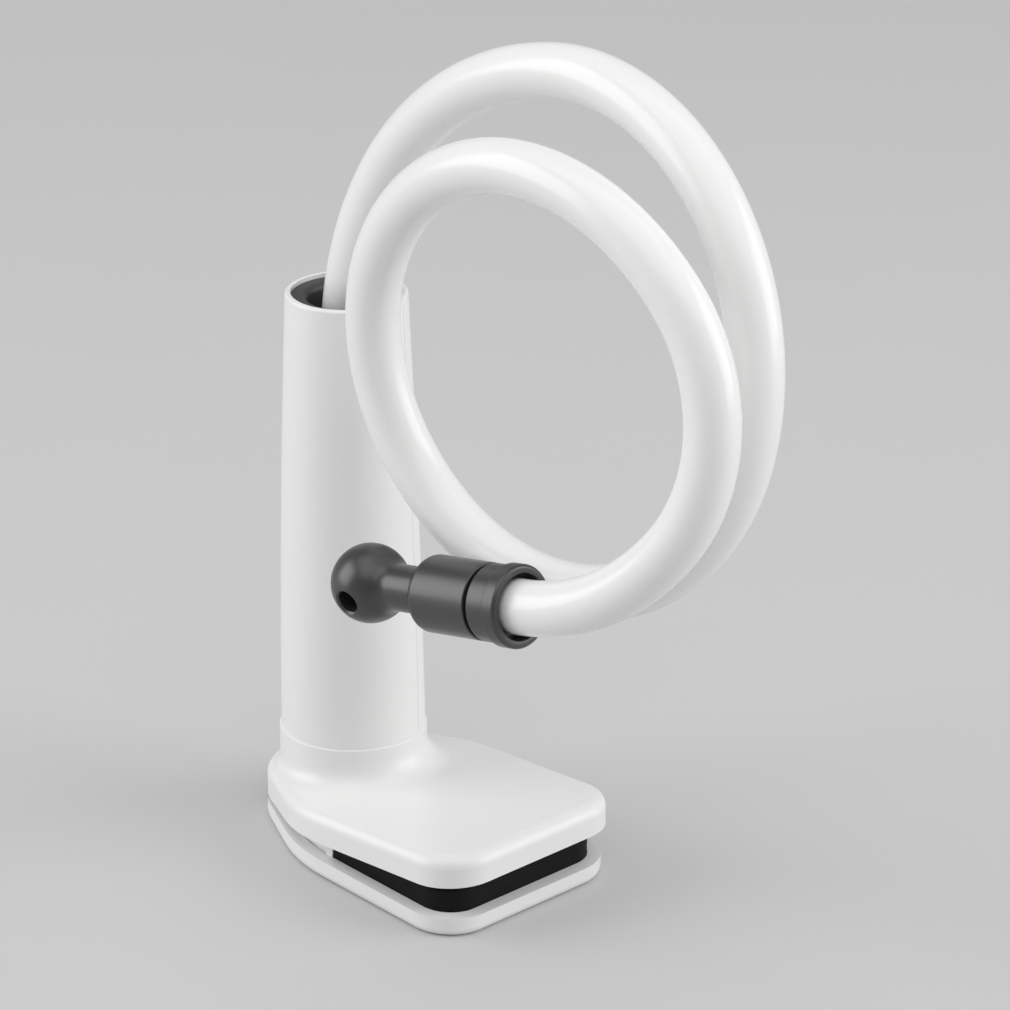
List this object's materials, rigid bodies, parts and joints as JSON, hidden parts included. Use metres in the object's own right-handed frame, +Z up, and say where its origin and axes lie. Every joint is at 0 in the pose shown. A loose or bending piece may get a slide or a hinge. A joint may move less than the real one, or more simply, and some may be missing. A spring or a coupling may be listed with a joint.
{
  "type": "gooseneck tablet holder arm with clamp base",
  "caption": "Coiled white gooseneck arm with a dark ball end, rising from a tapered column on a spring clamp with padded jaws.",
  "frame": {"origin": "on the lower jaw's flat underside, about where the column's axis meets it", "axes": "+Z up from the underside; -Y towards the jaws' open front; X along the hinge pin. The column leans back 3 degrees from +Z"},
  "size_m": [0.0694, 0.1508, 0.2012],
  "materials": {
    "white_plastic": "moulded, semi-gloss",
    "white_sleeve": "smooth extruded, glossy",
    "black_rubber": "matt",
    "grey_plastic": "matt moulded",
    "black_plastic": "satin moulded",
    "soft_aluminium": "drawn rod",
    "bright_steel": "zinc-plated",
    "spring_steel": "drawn wire"
  },
  "bodies": {
    "lower_clamp": {"lower_jaw": "white_plastic", "lower_pad": "black_rubber", "torsion_spring": "spring_steel"},
    "upper_clamp": {"upper_jaw": "white_plastic", "upper_pad": "black_rubber", "hinge_pin": "bright_steel", "column_left_shell": "white_plastic", "column_right_shell": "white_plastic", "column_screws": "bright_steel", "mouth_ring": "grey_plastic", "arm_screw": "bright_steel", "arm_plug": "bright_steel", "arm_core": "soft_aluminium", "arm_sleeve": "white_sleeve", "end_ferrule": "black_plastic", "ball_stud": "black_plastic"}
  },
  "joints": [
    {"name": "jaw_hinge", "type": "hinge", "parent": "lower_clamp", "child": "upper_clamp", "pos_m": [0, 0.0118, 0.0056], "axis": [-1, 0, 0], "range_deg": [0, 30], "stiffness_Nm_per_rad": 1.5, "springref_deg": -11.46, "deforming": ["torsion_spring"]}
  ]
}
